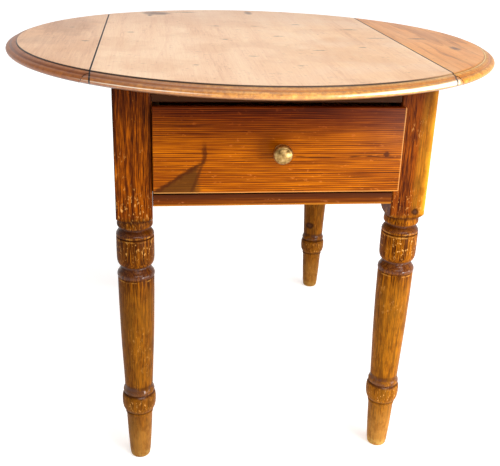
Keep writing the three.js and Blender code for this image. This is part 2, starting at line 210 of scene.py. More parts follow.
# ---------------------------------------------------------------- material helpers
class Graph:
    """A material's node tree, built from short calls. Inputs are sockets or plain numbers."""

    def __init__(self, name):
        self.material = bpy.data.materials.new(name)
        self.material.use_nodes = True
        self.tree = self.material.node_tree
        self.shader = self.tree.nodes["Principled BSDF"]
        self.polish = None    # a mask of where the wax coat lies, if it isn't all over
        self.place = self.node("ShaderNodeTexCoord").outputs["Object"]

    def node(self, kind, **settings):
        made = self.tree.nodes.new(kind)
        for key, value in settings.items():
            setattr(made, key, value)
        return made

    def feed(self, socket, value):
        if isinstance(value, bpy.types.NodeSocket):
            self.tree.links.new(value, socket)
        elif value is not None:
            socket.default_value = value

    def math(self, operation, a, b=None, clamp=False):
        made = self.node("ShaderNodeMath", operation=operation, use_clamp=clamp)
        for socket, value in zip(made.inputs, (a, b)):
            self.feed(socket, value)
        return made.outputs[0]

    def plus(self, a, b, clamp=False):
        return self.math("ADD", a, b, clamp)

    def minus(self, a, b):
        return self.math("SUBTRACT", a, b)

    def times(self, a, b):
        return self.math("MULTIPLY", a, b)

    def over(self, a, b):
        return self.math("DIVIDE", a, b)

    def most(self, a, b):
        return self.math("MAXIMUM", a, b)

    def gap(self, a, b):
        """How far apart a and b are."""
        return self.math("ABSOLUTE", self.minus(a, b))

    def vector(self, x, y, z):
        made = self.node("ShaderNodeCombineXYZ")
        for socket, value in zip(made.inputs, (x, y, z)):
            self.feed(socket, value)
        return made.outputs[0]

    def axes(self):
        made = self.node("ShaderNodeSeparateXYZ")
        self.feed(made.inputs[0], self.place)
        return list(made.outputs)

    def noise(self, vector, scale, detail, rough=0.5):
        made = self.node("ShaderNodeTexNoise")
        self.feed(made.inputs["Vector"], vector)
        made.inputs["Scale"].default_value = scale
        made.inputs["Detail"].default_value = detail
        made.inputs["Roughness"].default_value = rough
        return made.outputs["Fac"]

    def jitter(self, amount, scale, detail, rough=0.5):
        """Noise over the object, about 0 and amount wide."""
        return self.times(self.minus(self.noise(self.place, scale, detail, rough), 0.5), amount)

    def ramp(self, value, stops):
        """Maps a value through (position, grey or colour) stops."""
        made = self.node("ShaderNodeValToRGB")
        elements = made.color_ramp.elements
        while len(elements) < len(stops):
            elements.new(0.5)
        for element, (position, colour) in zip(elements, stops):
            element.position = position
            element.color = (colour,) * 3 + (1,) if isinstance(colour, float) else (*colour, 1)
        self.feed(made.inputs[0], value)
        return made.outputs[0]

    def step(self, value, low, high):
        """0 below low, 1 above high, smooth between; high may be under low."""
        made = self.node("ShaderNodeMapRange", interpolation_type="SMOOTHSTEP")
        self.feed(made.inputs["Value"], value)
        flip = high < low
        made.inputs["From Min"].default_value = min(low, high)
        made.inputs["From Max"].default_value = max(low, high)
        made.inputs["To Min"].default_value = 1.0 if flip else 0.0
        made.inputs["To Max"].default_value = 0.0 if flip else 1.0
        return made.outputs[0]

    def between(self, value, start, full, ending, end):
        """1 from full to ending, and smoothly down to 0 at start and end."""
        return self.times(self.step(value, start, full), self.step(value, end, ending))

    def patches(self, scale, detail, low, high, rough=0.5):
        """Patches of 1 on 0, where noise over the object passes low and high."""
        return self.step(self.noise(self.place, scale, detail, rough), low, high)

    def mix(self, factor, a, b, blend="MIX"):
        made = self.node("ShaderNodeMix", data_type="RGBA", blend_type=blend)
        self.feed(made.inputs[0], factor)
        for socket, value in ((made.inputs[6], a), (made.inputs[7], b)):
            self.feed(socket, (*value, 1) if isinstance(value, tuple) and len(value) == 3 else value)
        return made.outputs[2]

    def paint(self, colour, where, amount, tone, blend="MIX"):
        """The colour with some of a tone laid over it, where the mask is 1."""
        return self.mix(self.times(where, amount), colour, tone, blend)

    def finish(self, colour, roughness, height=None, bump=0.0, distance=0.0, **constants):
        """Joins everything to the shader. A height in 0 to 1 gives bumps of the distance given, in metres."""
        self.feed(self.shader.inputs["Base Color"], colour)
        self.feed(self.shader.inputs["Roughness"], roughness)
        for key, value in constants.items():
            self.shader.inputs[key.replace("_", " ")].default_value = value
        if height is not None:
            made = self.node("ShaderNodeBump")
            made.inputs["Strength"].default_value = bump
            made.inputs["Distance"].default_value = distance
            self.feed(made.inputs["Height"], height)
            self.feed(self.shader.inputs["Normal"], made.outputs[0])
        return self.material


def rgb(red, green, blue):
    """A colour given as 0 to 255 screen values, as the linear values that the shader takes."""
    def linear(value):
        value /= 255
        return value / 12.92 if value <= 0.04045 else ((value + 0.055) / 1.055) ** 2.4
    return tuple(linear(v) for v in (red, green, blue))


def pine(name, grain, light, middle, dark, period, heart, wander, rings=0.5, streaks=0.9, fibres=0.45,
         blotch=0.35, specks=0.0, rough=(0.3, 0.45), seed=0.0, extra=None, coat=0.0, shine=0.3, bump=0.12,
         stretch=0.035):
    """Pine boards: yearly rings around a heart line along the grain, streaks, fibres, patina and specks.

    heart is where that line lies across the grain, period is the width of one year's ring, and wander is how
    far the rings stray, all in metres. A smaller stretch makes longer fibres, and extra adds marks.
    """
    g = Graph(name)
    x, y, z = g.axes()
    along, across, deep = {"X": (x, z, y), "Y": (y, x, z), "Z": (z, x, y)}[grain]
    local = g.vector(g.plus(g.times(along, 0.14), seed), across, deep)
    sway = g.minus(g.noise(local, 9.0, 2.0), 0.5)
    fine_sway = g.minus(g.noise(local, 60.0, 2.0), 0.5)
    a = g.minus(across, heart[0])
    d = g.minus(deep, heart[1])
    radius = g.math("SQRT", g.plus(g.times(a, a), g.times(d, d)))
    radius = g.plus(radius, g.times(sway, wander * 6))
    radius = g.plus(radius, g.times(fine_sway, wander * 0.5))
    year = g.over(radius, period)
    late = g.ramp(g.math("FRACT", year), [(0.0, 0.0), (0.45, 0.12), (0.82, 0.9), (0.93, 1.0), (1.0, 0.0)])
    strength = g.noise(g.vector(0.0, g.math("FLOOR", year), seed), 0.73, 0.0)
    late = g.times(late, g.plus(g.times(strength, 1.6), 0.1))
    fibre_place = g.vector(g.plus(g.times(along, stretch), seed), across, deep)
    fibre = g.noise(fibre_place, 900.0, 2.0, 0.6)
    streak = g.noise(fibre_place, 230.0, 3.0, 0.65)
    patina = g.noise(local, 14.0, 4.0, 0.6)
    tone = g.times(late, rings)
    tone = g.plus(tone, g.times(g.minus(streak, 0.5), streaks))
    tone = g.plus(tone, g.times(g.minus(fibre, 0.5), fibres))
    tone = g.plus(tone, g.times(g.minus(patina, 0.5), blotch * 2))
    colour = g.ramp(g.plus(tone, 0.3, clamp=True), [(0.0, light), (0.45, middle), (1.0, dark)])
    if specks:
        spot_place = g.vector(g.times(along, 0.4), across, deep)
        spots = g.step(g.noise(spot_place, 210.0, 2.0, 0.7), 0.6, 0.7)
        spots = g.times(spots, g.patches(25.0, 2.0, 0.46, 0.6))
        pale = tuple(min(1.0, c * 1.5 + 0.03) for c in light)
        colour = g.paint(colour, spots, specks, pale)
    if extra:
        colour = extra(g, colour, x, y, z)
    dull = g.plus(rough[0], g.times(patina, rough[1] - rough[0]))
    height = g.minus(g.times(fibre, 0.6), g.times(late, 0.3))
    material = g.finish(colour, dull, height, bump, 0.0006, Coat_Weight=coat, Coat_Roughness=0.12,
                        Specular_IOR_Level=shine)
    if g.polish is not None:
        g.feed(g.shader.inputs["Coat Weight"], g.times(g.polish, coat))
    return material


def distance_to(g, terms):
    """Length of a vector whose parts are (socket, centre, size)."""
    total = None
    for socket, centre, size in terms:
        part = g.over(g.minus(socket, centre), size)
        part = g.times(part, part)
        total = part if total is None else g.plus(total, part)
    return g.math("SQRT", total)


# ---------------------------------------------------------------- materials
# Stains on the top: x, y, half widths along x and y, strength, colour
TOP_STAINS = (
    (-0.385, 0.14, 0.06, 0.16, 0.4, (150, 96, 60)),
    (-0.42, -0.06, 0.05, 0.05, 0.25, (150, 96, 60)),
    (-0.19, 0.375, 0.035, 0.035, 0.85, (92, 52, 30)),
    (-0.115, 0.405, 0.03, 0.007, 0.8, (96, 56, 32)),
    (0.042, 0.41, 0.009, 0.04, 0.7, (96, 60, 40)),
    (0.4, 0.06, 0.03, 0.16, 0.3, (150, 80, 30)))
# Dents and small knots on the top: x, y, half widths along x and y
TOP_DENTS = (
    (-0.205, 0.335, 0.005, 0.012), (-0.06, 0.17, 0.011, 0.004), (0.03, 0.175, 0.009, 0.003),
    (-0.245, 0.06, 0.008, 0.004), (0.06, 0.03, 0.010, 0.004), (-0.055, -0.02, 0.006, 0.004),
    (0.115, -0.14, 0.012, 0.003), (-0.02, -0.21, 0.008, 0.003), (0.21, -0.1, 0.007, 0.004),
    (-0.33, -0.06, 0.007, 0.006), (-0.37, 0.12, 0.006, 0.004), (0.24, 0.14, 0.02, 0.005),
    (0.13, 0.21, 0.010, 0.004), (-0.13, -0.30, 0.006, 0.003), (0.05, -0.30, 0.005, 0.003),
    (0.36, 0.02, 0.02, 0.006), (0.40, -0.1, 0.008, 0.02), (0.27, 0.02, 0.02, 0.003))


def top_marks(g, colour, x, y, z):
    """The flat of the top with its dents and stains, then its moulded edge, then the dark seams."""
    reach = g.math("SQRT", g.plus(g.times(x, x), g.times(y, y)))
    broad = g.noise(g.place, 7.0, 3.0, 0.55)
    colour = g.paint(colour, g.step(broad, 0.46, 0.6), 0.3, rgb(214, 152, 98))
    sunned = g.times(g.step(x, -0.12, 0.22), g.patches(11.0, 3.0, 0.36, 0.6, 0.6))
    colour = g.paint(colour, sunned, 0.8, (1.0, 0.93, 0.78), "MULTIPLY")
    far_side = g.step(y, 0.05, 0.4)
    colour = g.paint(colour, far_side, 0.3, rgb(190, 140, 112))
    grime = g.jitter(2.0, 30.0, 4.0, 0.7)
    for cx, cy, wide, long, amount, tone in TOP_STAINS:
        near = g.plus(distance_to(g, ((x, cx, wide), (y, cy, long))), grime)
        colour = g.paint(colour, g.step(near, 1.3, 0.3), amount, rgb(*tone))
    ragged = g.jitter(2.2, 160.0, 3.0, 0.7)
    for cx, cy, wide, long in TOP_DENTS:
        near = g.plus(distance_to(g, ((x, cx, wide), (y, cy, long))), ragged)
        colour = g.paint(colour, g.step(near, 1.5, 0.3), 0.85, rgb(92, 52, 28))
    dash_place = g.vector(g.times(x, 0.3), y, z)
    dashes = g.step(g.noise(dash_place, 300.0, 1.0, 0.5), 0.69, 0.76)
    colour = g.paint(colour, dashes, 0.7, rgb(140, 86, 48))

    # The moulded edge: golden wax, with painted shade on the left and painted highlights along its nose and
    # inner edge
    worn = g.noise(g.place, 90.0, 5.0, 0.75)
    band = g.ramp(worn, [(0.3, rgb(150, 88, 24)), (0.5, rgb(206, 138, 52)), (0.7, rgb(240, 184, 96))])
    # Painted shade in the hollow between the moulding's two rounds
    hollow = g.step(g.gap(reach, TOP_RADIUS - 0.0095), 0.0035, 0.001)
    band = g.paint(band, hollow, 0.7, rgb(146, 78, 8))
    # Painted shade on the lower part of the nose, where it turns under
    band = g.paint(band, g.step(z, UNDERSIDE + 0.0055, UNDERSIDE + 0.002), 0.85, rgb(84, 44, 10))
    # Painted highlight along the inner edge of the moulding, towards the right
    lit = g.step(x, 0.0, 0.3)
    inner_edge_highlight = g.step(g.gap(reach, FIELD_EDGE + 0.0026), 0.0014, 0.0005)
    band = g.paint(band, g.times(inner_edge_highlight, lit), 0.7, rgb(252, 240, 214))
    # Painted shade: the moulding gets darker towards the left
    band = g.mix(g.step(x, 0.08, -0.35), band, (0.46, 0.27, 0.08), "MULTIPLY")
    # Painted highlight along the nose: a pale strip at the front right and a thin line at the front left
    nose_height = g.plus(UNDERSIDE + 0.0082, g.times(x, 0.003))
    away = g.minus(g.gap(z, nose_height), g.times(x, 0.0095))
    wear_and_highlight = g.times(g.step(away, 0.0010, -0.0004), g.step(x, 0.03, 0.2))
    wear_and_highlight = g.times(wear_and_highlight, g.times(g.step(x, 0.313, 0.303), g.step(y, -0.3, -0.36)))
    left_line = g.step(g.gap(z, UNDERSIDE + 0.0078), 0.0012, 0.0003)
    left_line = g.times(left_line, g.between(x, -0.36, -0.25, -0.2, -0.08))
    left_line = g.times(left_line, g.times(g.step(y, -0.2, -0.35), 0.7))
    wear_and_highlight = g.most(wear_and_highlight, left_line)
    mottle = g.patches(260.0, 3.0, 0.48, 0.62, 0.7)
    band = g.paint(band, mottle, 0.35, rgb(112, 60, 16))
    band = g.mix(1.0, band, (1.0, 0.96, 0.62), "MULTIPLY")
    yellow = g.times(g.step(x, 0.29, 0.31), g.patches(24.0, 2.0, 0.4, 0.6))
    band = g.paint(band, yellow, 0.6, (1.0, 0.86, 0.3), "MULTIPLY")
    band = g.paint(band, wear_and_highlight, 0.85, rgb(255, 246, 222))
    edge = g.step(reach, FIELD_EDGE - 0.0005, FIELD_EDGE + 0.0005)
    g.polish = edge
    colour = g.paint(colour, edge, 0.92, band)

    # Painted shade in the quirk, less of it at the right, and dirt in the seams
    groove = g.step(g.gap(reach, FIELD_EDGE), 0.0013, 0.0006)
    clear = g.minus(0.95, g.times(g.step(x, 0.18, 0.36), 0.6))
    colour = g.paint(colour, groove, clear, rgb(40, 18, 6))
    seam = g.gap(g.math("ABSOLUTE", x), HINGE_X + SEAM / 2)
    return g.paint(colour, g.step(seam, 0.0019, 0.0012), 0.98, rgb(30, 14, 6))


TOP_PINE = pine("top_pine", "Y", rgb(253, 215, 172), rgb(242, 194, 152), rgb(184, 126, 88), period=0.013,
                heart=(0.05, -0.12), wander=0.006, rings=0.14, streaks=0.55, fibres=0.8, blotch=0.45,
                rough=(0.28, 0.42), extra=top_marks, coat=0.6, shine=0.4, bump=0.05)
LEFT_PINE = pine("left_leaf_pine", "Y", rgb(238, 190, 144), rgb(220, 166, 122), rgb(160, 104, 66),
                 period=0.011, heart=(-0.36, -0.1), wander=0.008, rings=0.2, fibres=0.9, blotch=0.5,
                 rough=(0.28, 0.42), seed=6.1, extra=top_marks, shine=0.4, bump=0.05)
RIGHT_PINE = pine("leaf_pine", "Y", rgb(250, 178, 96), rgb(226, 146, 62), rgb(120, 56, 12), period=0.009,
                  heart=(0.41, -0.05), wander=0.012, rings=0.32, streaks=0.8, fibres=0.5, blotch=0.5,
                  rough=(0.28, 0.42), seed=3.7, extra=top_marks, bump=0.05)


# Old wax in the turnings: height, half its width, strength
LEG_WAX = (
    (HIGH_NECK, 0.005, 0.5), (LOW_NECK, 0.005, 0.5), (BARREL_GROOVE, 0.0018, 0.9), (RING_TOP, 0.004, 0.7),
    (RING_WAIST, 0.007, 0.5), (SHAFT_GROOVE, 0.0016, 0.7), (BLOCK_BOTTOM - 0.0005, 0.005, 0.7),
    (RING_LOW, 0.003, 0.6))
LEG_RUBBED = (0.4592, 0.4655, 0.3828)    # heights of arrises that have been rubbed pale
LEG_KNOTS = ((0.2505, -0.39, 0.509, 0.0065), (0.222, 0.336, 0.190, 0.010))    # x, y, z, size


def leg_marks(g, colour, x, y, z):
    """Dark blocks, lighter shafts, worn feet, a painted arris highlight, old wax, chips, knots and painted
    shade.
    """
    ragged = g.plus(z, g.jitter(0.03, 60.0, 3.0))
    colour = g.paint(colour, g.step(ragged, 0.392, 0.335), 0.35, rgb(166, 108, 26))
    colour = g.paint(colour, g.step(ragged, 0.12, 0.03), 0.55, rgb(186, 132, 62))
    hairs = g.noise(g.vector(x, y, g.times(z, 0.05)), 420.0, 2.0, 0.6)
    in_block = g.step(z, BLOCK_BOTTOM + 0.002, BLOCK_BOTTOM + 0.010)
    tint = g.mix(g.step(x, -0.1, 0.1), (0.86, 0.65, 0.3), (0.7, 0.48, 0.22))
    colour = g.mix(in_block, colour, tint, "MULTIPLY")
    # Painted highlight down the right arris of the front right leg's block
    arris_highlight = g.plus(g.step(x, 0.255, 0.268), g.times(hairs, 0.6))
    front_right = g.times(g.step(y, -0.370, -0.388), g.times(in_block, g.step(x, 0.238, 0.250)))
    colour = g.paint(colour, g.times(arris_highlight, front_right), 0.6, rgb(246, 170, 40))
    for height, wide, amount in LEG_WAX:
        near = g.gap(z, height)
        colour = g.paint(colour, g.step(near, wide, wide * 0.2), amount, rgb(58, 24, 4))
    wear_and_highlight = 0.0
    for height in LEG_RUBBED:
        line = g.step(g.gap(z, height), 0.0016, 0.0005)
        wear_and_highlight = g.most(wear_and_highlight, g.times(line, g.patches(90.0, 3.0, 0.48, 0.6)))
    colour = g.paint(colour, wear_and_highlight, 0.45, rgb(222, 158, 70))
    chips = g.step(g.noise(g.vector(x, y, g.times(z, 0.5)), 250.0, 2.0, 0.7), 0.59, 0.66)
    barrel = g.between(z, 0.418, 0.430, 0.455, 0.462)
    ring = g.between(z, 0.108, 0.114, 0.134, 0.142)
    block_end = g.times(g.step(z, BLOCK_BOTTOM, BLOCK_BOTTOM + 0.010), g.step(ragged, 0.56, 0.53))
    chipped = g.most(g.most(barrel, ring), g.times(block_end, 0.7))
    chipped = g.most(chipped, g.times(g.patches(22.0, 2.0, 0.52, 0.64), 0.45))
    colour = g.paint(colour, g.times(chips, chipped), 0.75, rgb(226, 164, 84))
    for cx, cy, cz, size in LEG_KNOTS:
        knot = distance_to(g, ((x, cx, size), (y, cy, size * 3), (z, cz, size)))
        knot = g.plus(knot, g.jitter(0.7, 130.0, 2.0))
        colour = g.paint(colour, g.step(knot, 1.25, 0.7), 0.85, rgb(52, 24, 8))
        colour = g.paint(colour, g.step(knot, 0.6, 0.3), 0.6, rgb(96, 62, 44))
    # Painted shadow of the table top over the upper part of the legs
    colour = g.paint(colour, g.step(ragged, 0.63, 0.72), 0.8, (0.34, 0.26, 0.2), "MULTIPLY")
    soiled = g.step(g.noise(g.vector(x, y, g.times(z, 0.5)), 70.0, 4.0, 0.7), 0.45, 0.62)
    colour = g.paint(colour, soiled, 0.5, (0.5, 0.36, 0.25), "MULTIPLY")
    waxed = g.most(g.between(z, 0.3865, 0.390, 0.406, 0.412),
                   g.between(z, 0.4655, 0.469, 0.479, 0.484))
    low_wax = g.between(z, 0.138, 0.146, 0.156, 0.166)
    low_wax = g.times(low_wax, g.patches(45.0, 3.0, 0.4, 0.55, 0.6))
    waxed = g.most(waxed, low_wax)
    g.polish = waxed
    scuffed = g.times(g.step(z, 0.022, 0.006), g.patches(120.0, 3.0, 0.35, 0.6, 0.6))
    colour = g.paint(colour, scuffed, 0.6, rgb(196, 160, 84))
    colour = g.paint(colour, waxed, 0.6, rgb(78, 34, 8))

    # Painted shade, darker: the left legs' turnings, the back legs, and the sides of the blocks that face
    # inwards
    painted_shade = g.times(g.times(g.step(x, 0.05, -0.05), g.minus(1.0, in_block)), 0.44)
    painted_shade = g.plus(painted_shade, g.times(g.step(y, -0.05, 0.05), 0.58))
    inner = g.times(g.step(g.math("ABSOLUTE", x), 0.2085, 0.2065),
                    g.step(z, BLOCK_BOTTOM - 0.002, BLOCK_BOTTOM + 0.008))
    painted_shade = g.plus(painted_shade, g.times(inner, 0.5), clamp=True)
    return g.mix(painted_shade, colour, (0.25, 0.2, 0.1), "MULTIPLY")


LEG_PINE = pine("leg_pine", "Z", rgb(166, 96, 4), rgb(98, 48, 0), rgb(32, 11, 0), period=0.0065,
                heart=(0.3, 0.12), wander=0.004, rings=0.25, streaks=1.4, fibres=2.6, blotch=0.6,
                rough=(0.34, 0.5), extra=leg_marks, coat=0.5, shine=0.04, bump=0.14)


def front_marks(g, colour, x, y, z):
    """A spike knot flaring from the lower left, a split at mid height, worn edges with a painted highlight,
    and painted shadows of the top and the knob.
    """
    left, right = float(front_low[0]), float(front_high[0])
    low, high = float(front_low[2]) + LIP_RAISE, float(front_high[2])
    tall = high - low
    run = g.minus(x, left)
    rise = g.minus(z, low)
    # Painted shadow of the table top's overhang over the upper part of the front
    cloud = g.jitter(0.05, 14.0, 3.0)
    cloudy_z = g.plus(g.plus(z, cloud), g.times(g.step(run, 0.0, 0.10), 0.01))
    top_shadow = g.step(cloudy_z, high - 0.095, high + 0.006)
    colour = g.mix(top_shadow, colour, (0.31, 0.2, 0.15), "MULTIPLY")
    ragged = g.jitter(0.014, 90.0, 3.0, 0.6)
    slope = g.minus(g.plus(rise, ragged), g.times(run, 0.66))
    flare = g.times(g.step(slope, 0.006, -0.006), g.step(g.plus(run, ragged), 0.082, 0.068))
    colour = g.paint(colour, flare, 0.88, rgb(78, 44, 8))
    rim = g.times(g.step(g.math("ABSOLUTE", slope), 0.007, 0.0008), g.step(run, 0.09, 0.08))
    colour = g.paint(colour, rim, 0.8, rgb(58, 22, 2))
    tail = g.minus(g.plus(rise, ragged), g.times(g.minus(run, 0.062), 2.6))
    tail = g.times(g.step(g.math("ABSOLUTE", tail), 0.010, 0.002), g.step(rise, 0.06, 0.045))
    colour = g.paint(colour, tail, 0.6, rgb(66, 28, 4))
    spike = distance_to(g, ((g.plus(x, ragged), left + 0.084, 0.0035), (z, low + 0.068, 0.016)))
    colour = g.paint(colour, g.step(spike, 1.6, 0.4), 0.75, rgb(62, 22, 2))
    split = g.plus(rise, g.jitter(0.006, 16.0, 2.0))
    split = g.step(g.gap(split, tall * 0.42), 0.0022, 0.0004)
    split = g.times(split, g.step(g.noise(g.vector(x, 0.0, 0.0), 22.0, 2.0), 0.4, 0.55))
    split = g.times(split, g.step(x, -0.12, 0.04))
    knot = distance_to(g, ((g.plus(x, ragged), right - 0.028, 0.005), (z, low + tall * 0.45, 0.006)))
    split = g.most(split, g.step(knot, 1.3, 0.5))
    colour = g.paint(colour, split, 0.85, rgb(64, 24, 2))
    # Painted shadow of the knob, cast to its left
    knob_shadow = distance_to(g, ((x, -0.012, 0.05), (z, low + 0.075, 0.035)))
    colour = g.paint(colour, g.step(knob_shadow, 1.2, 0.1), 0.5, (0.4, 0.3, 0.2), "MULTIPLY")
    # Pale bottom and right edges: wear with a painted highlight
    worn = g.most(g.step(rise, 0.003, 0.0012), g.step(x, right - 0.003, right - 0.001))
    return g.paint(colour, worn, 0.5, rgb(226, 160, 84))


def rail_marks(g, colour, x, y, z):
    """Painted shadow under the drawer lip and painted shade up under the top, gold along the worn lower edge.
    """
    colour = g.paint(colour, g.step(z, 0.534, 0.540), 0.75, rgb(58, 24, 8))
    colour = g.paint(colour, g.step(z, 0.60, 0.69), 0.85, rgb(48, 26, 10))
    return g.paint(colour, g.step(z, 0.5290, 0.5265), 0.5, rgb(196, 124, 34))


FRONT_PINE = pine("front_pine", "X", rgb(190, 104, 2), rgb(130, 59, 0), rgb(60, 22, 0), period=0.0033,
                  heart=(0.1, -0.6), wander=0.0025, streaks=0.85, fibres=2.1, blotch=0.6, specks=0.3,
                  rough=(0.26, 0.42), extra=front_marks, shine=0.05, stretch=0.012)
RAIL_PINE = pine("rail_pine", "X", rgb(130, 66, 4), rgb(94, 40, 1), rgb(44, 15, 0), period=0.005,
                 heart=(0.4, -0.5), wander=0.002, rings=0.3, specks=0.7, seed=8.0, shine=0.05,
                 extra=rail_marks)
SIDE_PINE = pine("side_pine", "Y", rgb(166, 92, 18), rgb(126, 62, 8), rgb(60, 22, 2), period=0.007,
                 heart=(0.9, 0.62), wander=0.004, specks=0.2, seed=5.0, rough=(0.34, 0.5), shine=0.15)
BACK_PINE = pine("back_pine", "X", rgb(166, 92, 18), rgb(126, 62, 8), rgb(60, 22, 2), period=0.007,
                 heart=(0.56, 0.1), wander=0.004, specks=0.2, seed=6.0, rough=(0.34, 0.5), shine=0.15)
BRACKET_PINE = pine("bracket_pine", "Y", rgb(120, 62, 22), rgb(84, 40, 12), rgb(40, 17, 5), period=0.006,
                    heart=(0.5, 0.55), wander=0.003, specks=0.1, seed=2.0, rough=(0.4, 0.55), shine=0.2)
INNER_PINE = pine("inner_pine", "Y", rgb(210, 164, 102), rgb(190, 140, 80), rgb(142, 92, 44), period=0.008,
                  heart=(0.3, -0.2), wander=0.005, seed=9.0, rough=(0.6, 0.75))
INNER_PINE_X = pine("inner_pine_across", "X", rgb(210, 164, 102), rgb(190, 140, 80), rgb(142, 92, 44),
                    period=0.008, heart=(0.3, -0.2), wander=0.005, seed=12.0, rough=(0.6, 0.75))


def brass():
    g = Graph("aged_brass")
    cloud = g.noise(g.place, 160.0, 4.0, 0.65)
    fine = g.noise(g.place, 900.0, 2.0, 0.6)
    colour = g.ramp(cloud, [(0.3, rgb(104, 76, 40)), (0.5, rgb(160, 126, 74)), (0.75, rgb(204, 172, 116))])
    rough = g.plus(0.26, g.times(cloud, 0.22))
    return g.finish(colour, rough, fine, 0.08, 0.0003, Metallic=1.0)


def iron():
    g = Graph("dark_iron")
    cloud = g.noise(g.place, 220.0, 4.0, 0.7)
    rust = g.patches(90.0, 4.0, 0.55, 0.68, 0.7)
    colour = g.ramp(cloud, [(0.3, rgb(48, 44, 42)), (0.7, rgb(96, 90, 86))])
    colour = g.paint(colour, rust, 0.6, rgb(96, 52, 28))
    rough = g.plus(0.4, g.times(rust, 0.35))
    return g.finish(colour, rough, cloud, 0.2, 0.0004, Metallic=0.9)


BRASS = brass()
IRON = iron()


def dress(piece, material):
    piece.data.materials.clear()
    piece.data.materials.append(material)
    return piece


# ---------------------------------------------------------------- top: three boards with a moulded edge
def top_disc():
    """The whole round top: field, a quirk, a rounded moulding and the underside."""
    ledge = TOP_Z - QUIRK
    nose = UNDERSIDE + 0.0072
    waist = TOP_RADIUS - 0.0085
    profile = [(0, UNDERSIDE), (FIELD_EDGE - 0.01, UNDERSIDE)]
    profile += arc(TOP_RADIUS - 0.010, nose, 0.010, nose - UNDERSIDE, -90, 0, 8)
    profile += arc(waist - 0.0005, nose, TOP_RADIUS - waist + 0.0005, 0.0062, 0, 80, 8)[1:]
    profile += arc(FIELD_EDGE + 0.0024, nose + 0.0055, waist - FIELD_EDGE - 0.0024, ledge - nose - 0.0055,
                   12, 90, 10)
    profile += [(FIELD_EDGE + 0.0003, ledge - 0.0002), (FIELD_EDGE, ledge + 0.0004)]
    profile += arc(FIELD_EDGE - 0.0007, TOP_Z - 0.0007, 0.0007, 0.0007, 0, 90, 3)
    profile += [(FIELD_EDGE - 0.01, TOP_Z), (0, TOP_Z)]
    return lathe("top_disc", profile, 256)


def centre_outline():
    """What the centre board keeps of the disc, with the round of a rule joint at both sides."""
    right = [(HINGE_X + RULE_RADIUS, UNDERSIDE - PAST)]
    right += arc(HINGE_X, HINGE_Z, RULE_RADIUS, RULE_RADIUS, 0, 90, 14)
    right += arc(HINGE_X - EASE, TOP_Z - EASE, EASE, EASE, 0, 90, 3)
    right += [(HINGE_X - PAST, TOP_Z), (HINGE_X - PAST, TOP_Z + PAST)]
    return right + [(-x, z) for x, z in reversed(right)]


def leaf_outline(side):
    """What a leaf keeps of the disc, with the hollow of its rule joint."""
    start = math.degrees(math.acos(SEAM / COVE_RADIUS))
    outline = [(BEYOND, UNDERSIDE - PAST), (BEYOND, TOP_Z + PAST)]
    outline += [(HINGE_X + SEAM + PAST, TOP_Z + PAST), (HINGE_X + SEAM + PAST, TOP_Z)]
    outline += arc(HINGE_X + SEAM + EASE, TOP_Z - EASE, EASE, EASE, 90, 180, 3)
    outline += arc(HINGE_X, HINGE_Z, COVE_RADIUS, COVE_RADIUS, start, 0, 14)
    outline += [(HINGE_X + COVE_RADIUS, UNDERSIDE - PAST)]
    return [(side * x, z) for x, z in outline]


def hinge_slots():
    """Tools for the pockets of the four hinges in the centre board."""
    low, high = HINGE_X - SLOT_IN, HINGE_X + SLOT_OUT
    return [block("slot", (min(s * low, s * high), e * HINGE_Y - SLOT_HALF, UNDERSIDE - PAST),
                  (max(s * low, s * high), e * HINGE_Y + SLOT_HALF, HINGE_Z + 0.005), 0.0005, 1)
            for _, s in SIDES for _, e in ENDS]


centre_board = top_disc()
centre_board.name = "centre_board_wood"
cut(centre_board, section_tool(centre_outline()), "INTERSECT")
for slot_box in hinge_slots():
    cut(centre_board, slot_box, "DIFFERENCE")
dress(centre_board, TOP_PINE)
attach(centre_board, "frame")
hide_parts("centre_board")

for side, s in SIDES:
    leaf = top_disc()
    leaf.name = f"{side}_leaf_wood"
    cut(leaf, section_tool(leaf_outline(s)), "INTERSECT")
    dress(leaf, RIGHT_PINE if side == "right" else LEFT_PINE)
    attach(leaf, f"{side}_leaf")
    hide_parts(f"{side}_leaf")


# ---------------------------------------------------------------- legs: square block, then turnings
def bead(low, high, inner, bulge, steps):
    """Points up a half round from (inner, low) to (inner, high) that stands out by bulge."""
    middle, half = (low + high) / 2, (high - low) / 2
    return [(inner + bulge * math.cos(t), middle + half * math.sin(t))
            for t in (math.radians(-90 + 180 * i / steps) for i in range(steps + 1))]


